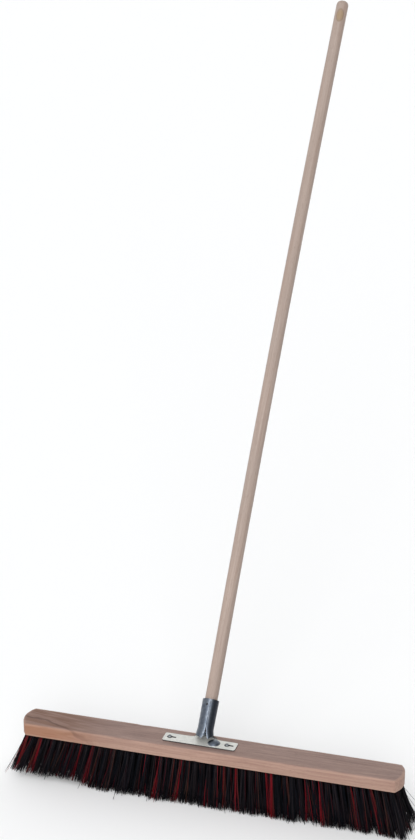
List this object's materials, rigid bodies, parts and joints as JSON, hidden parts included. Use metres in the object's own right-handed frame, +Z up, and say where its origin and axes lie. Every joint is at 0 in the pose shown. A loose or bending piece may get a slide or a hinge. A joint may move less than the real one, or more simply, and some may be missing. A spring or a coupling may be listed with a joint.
{
  "type": "push broom",
  "caption": "Push broom: a long wooden head with splayed rows of dark bristle tufts, a pressed-steel handle holder on keyhole slots and a round wooden stick that leans back.",
  "frame": {"origin": "middle of the sweeping face, where the trimmed bristle tips stand on the floor", "axes": "+X along the head, -Y the head's front, +Z up from the floor; the stick leans towards +Y"},
  "size_m": [0.8536, 1.1023, 1.386],
  "materials": {
    "block_wood": "bare, weathered",
    "stick_wood": "bare, worn smooth",
    "holder_zinc": "zinc plated, dull",
    "screw_zinc": "zinc plated",
    "bristle_fibre": "black fibre with dark red and brown strands"
  },
  "bodies": {
    "head": {"bristle_row_1_bank_01": "bristle_fibre", "bristle_row_1_bank_02": "bristle_fibre", "bristle_row_1_bank_03": "bristle_fibre", "bristle_row_1_bank_04": "bristle_fibre", "bristle_row_1_bank_05": "bristle_fibre", "bristle_row_1_bank_06": "bristle_fibre", "bristle_row_1_bank_07": "bristle_fibre", "bristle_row_1_bank_08": "bristle_fibre", "bristle_row_1_bank_09": "bristle_fibre", "bristle_row_2_bank_01": "bristle_fibre", "bristle_row_2_bank_02": "bristle_fibre", "bristle_row_2_bank_03": "bristle_fibre", "bristle_row_2_bank_04": "bristle_fibre", "bristle_row_2_bank_05": "bristle_fibre", "bristle_row_2_bank_06": "bristle_fibre", "bristle_row_2_bank_07": "bristle_fibre", "bristle_row_2_bank_08": "bristle_fibre", "bristle_row_2_bank_09": "bristle_fibre", "bristle_row_3_bank_01": "bristle_fibre", "bristle_row_3_bank_02": "bristle_fibre", "bristle_row_3_bank_03": "bristle_fibre", "bristle_row_3_bank_04": "bristle_fibre", "bristle_row_3_bank_05": "bristle_fibre", "bristle_row_3_bank_06": "bristle_fibre", "bristle_row_3_bank_07": "bristle_fibre", "bristle_row_3_bank_08": "bristle_fibre", "bristle_row_3_bank_09": "bristle_fibre", "bristle_row_4_bank_01": "bristle_fibre", "bristle_row_4_bank_02": "bristle_fibre", "bristle_row_4_bank_03": "bristle_fibre", "bristle_row_4_bank_04": "bristle_fibre", "bristle_row_4_bank_05": "bristle_fibre", "bristle_row_4_bank_06": "bristle_fibre", "bristle_row_4_bank_07": "bristle_fibre", "bristle_row_4_bank_08": "bristle_fibre", "bristle_row_4_bank_09": "bristle_fibre", "bristle_row_5_bank_01": "bristle_fibre", "bristle_row_5_bank_02": "bristle_fibre", "bristle_row_5_bank_03": "bristle_fibre", "bristle_row_5_bank_04": "bristle_fibre", "bristle_row_5_bank_05": "bristle_fibre", "bristle_row_5_bank_06": "bristle_fibre", "bristle_row_5_bank_07": "bristle_fibre", "bristle_row_5_bank_08": "bristle_fibre", "bristle_row_5_bank_09": "bristle_fibre", "broom_block": "block_wood", "holder_screw_left": "screw_zinc", "holder_screw_right": "screw_zinc"},
    "holder": {"handle_holder": "holder_zinc"},
    "stick": {"handle_stick": "stick_wood"}
  },
  "joints": [
    {"name": "holder_slide", "type": "slide", "parent": "head", "child": "holder", "axis": [-1, 0, 0], "range_m": [0, 0.0115]},
    {"name": "handle_pull", "type": "slide", "parent": "holder", "child": "stick", "axis": [0, 0.6428, 0.766], "range_m": [0, 0.065]}
  ]
}
